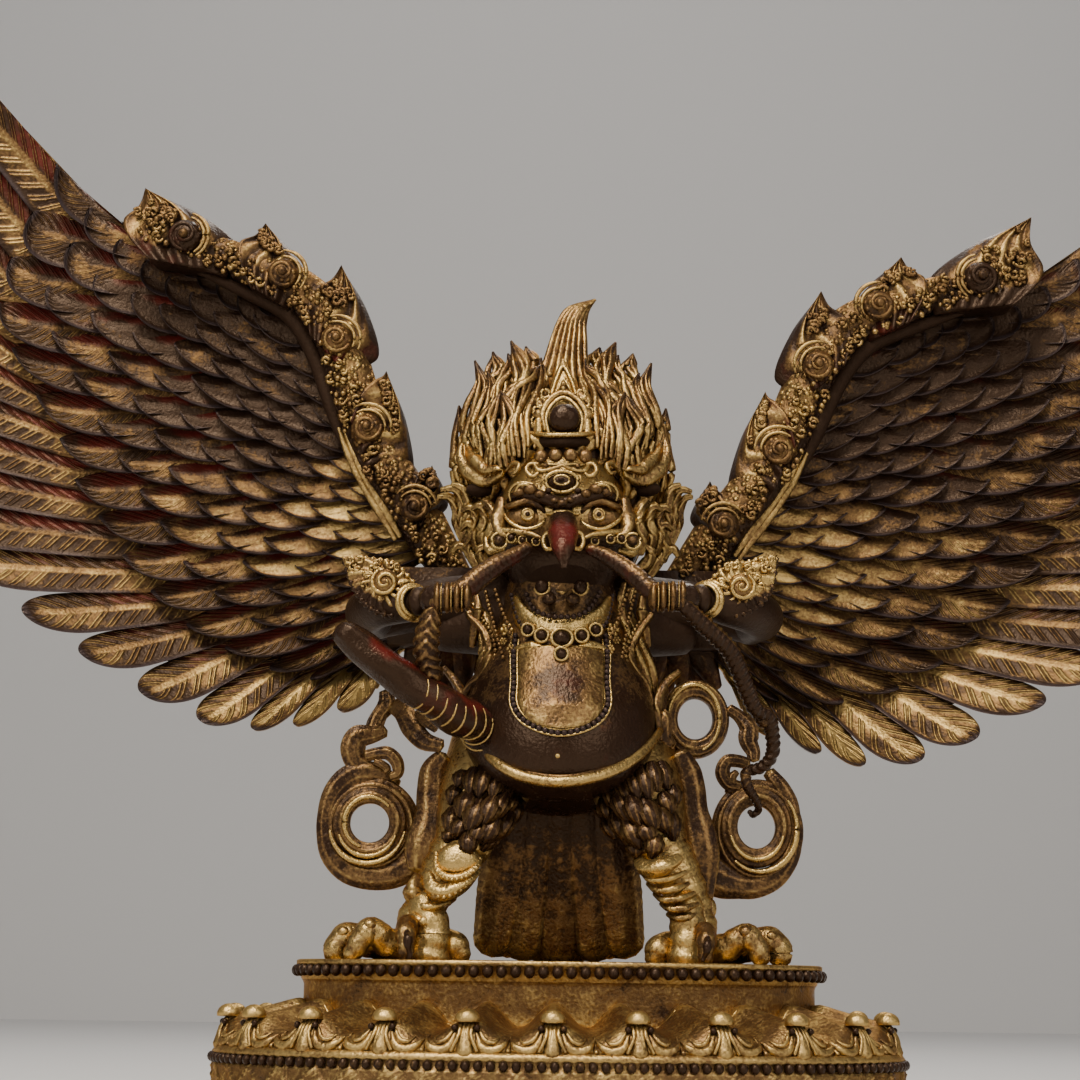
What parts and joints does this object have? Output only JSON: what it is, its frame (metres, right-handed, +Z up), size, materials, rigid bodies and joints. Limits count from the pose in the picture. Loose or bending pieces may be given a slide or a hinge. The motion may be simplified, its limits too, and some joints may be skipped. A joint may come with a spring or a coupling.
{
  "type": "garuda figure",
  "caption": "Cast garuda standing on an oval lotus pedestal, wings raised and spread, a snake held in its beak and both fists.",
  "frame": {"origin": "middle of the pedestal's underside", "axes": "+X to the viewer's right along the wings, -Y towards the viewer, +Z up"},
  "size_m": [0.3987, 0.12, 0.2807],
  "materials": {
    "pedestal_bronze": "mottled worn gilding over dark brown lacquer",
    "figure_bronze": "worn gilding in the recesses, dark red-brown lacquer on the raised parts",
    "wing_bronze": "worn gilding on the feathers, dark rims and patches of dark red lacquer"
  },
  "bodies": {
    "root": {"pedestal": "pedestal_bronze", "figure": "figure_bronze", "left_wing": "wing_bronze", "right_wing": "wing_bronze"}
  },
  "joints": []
}
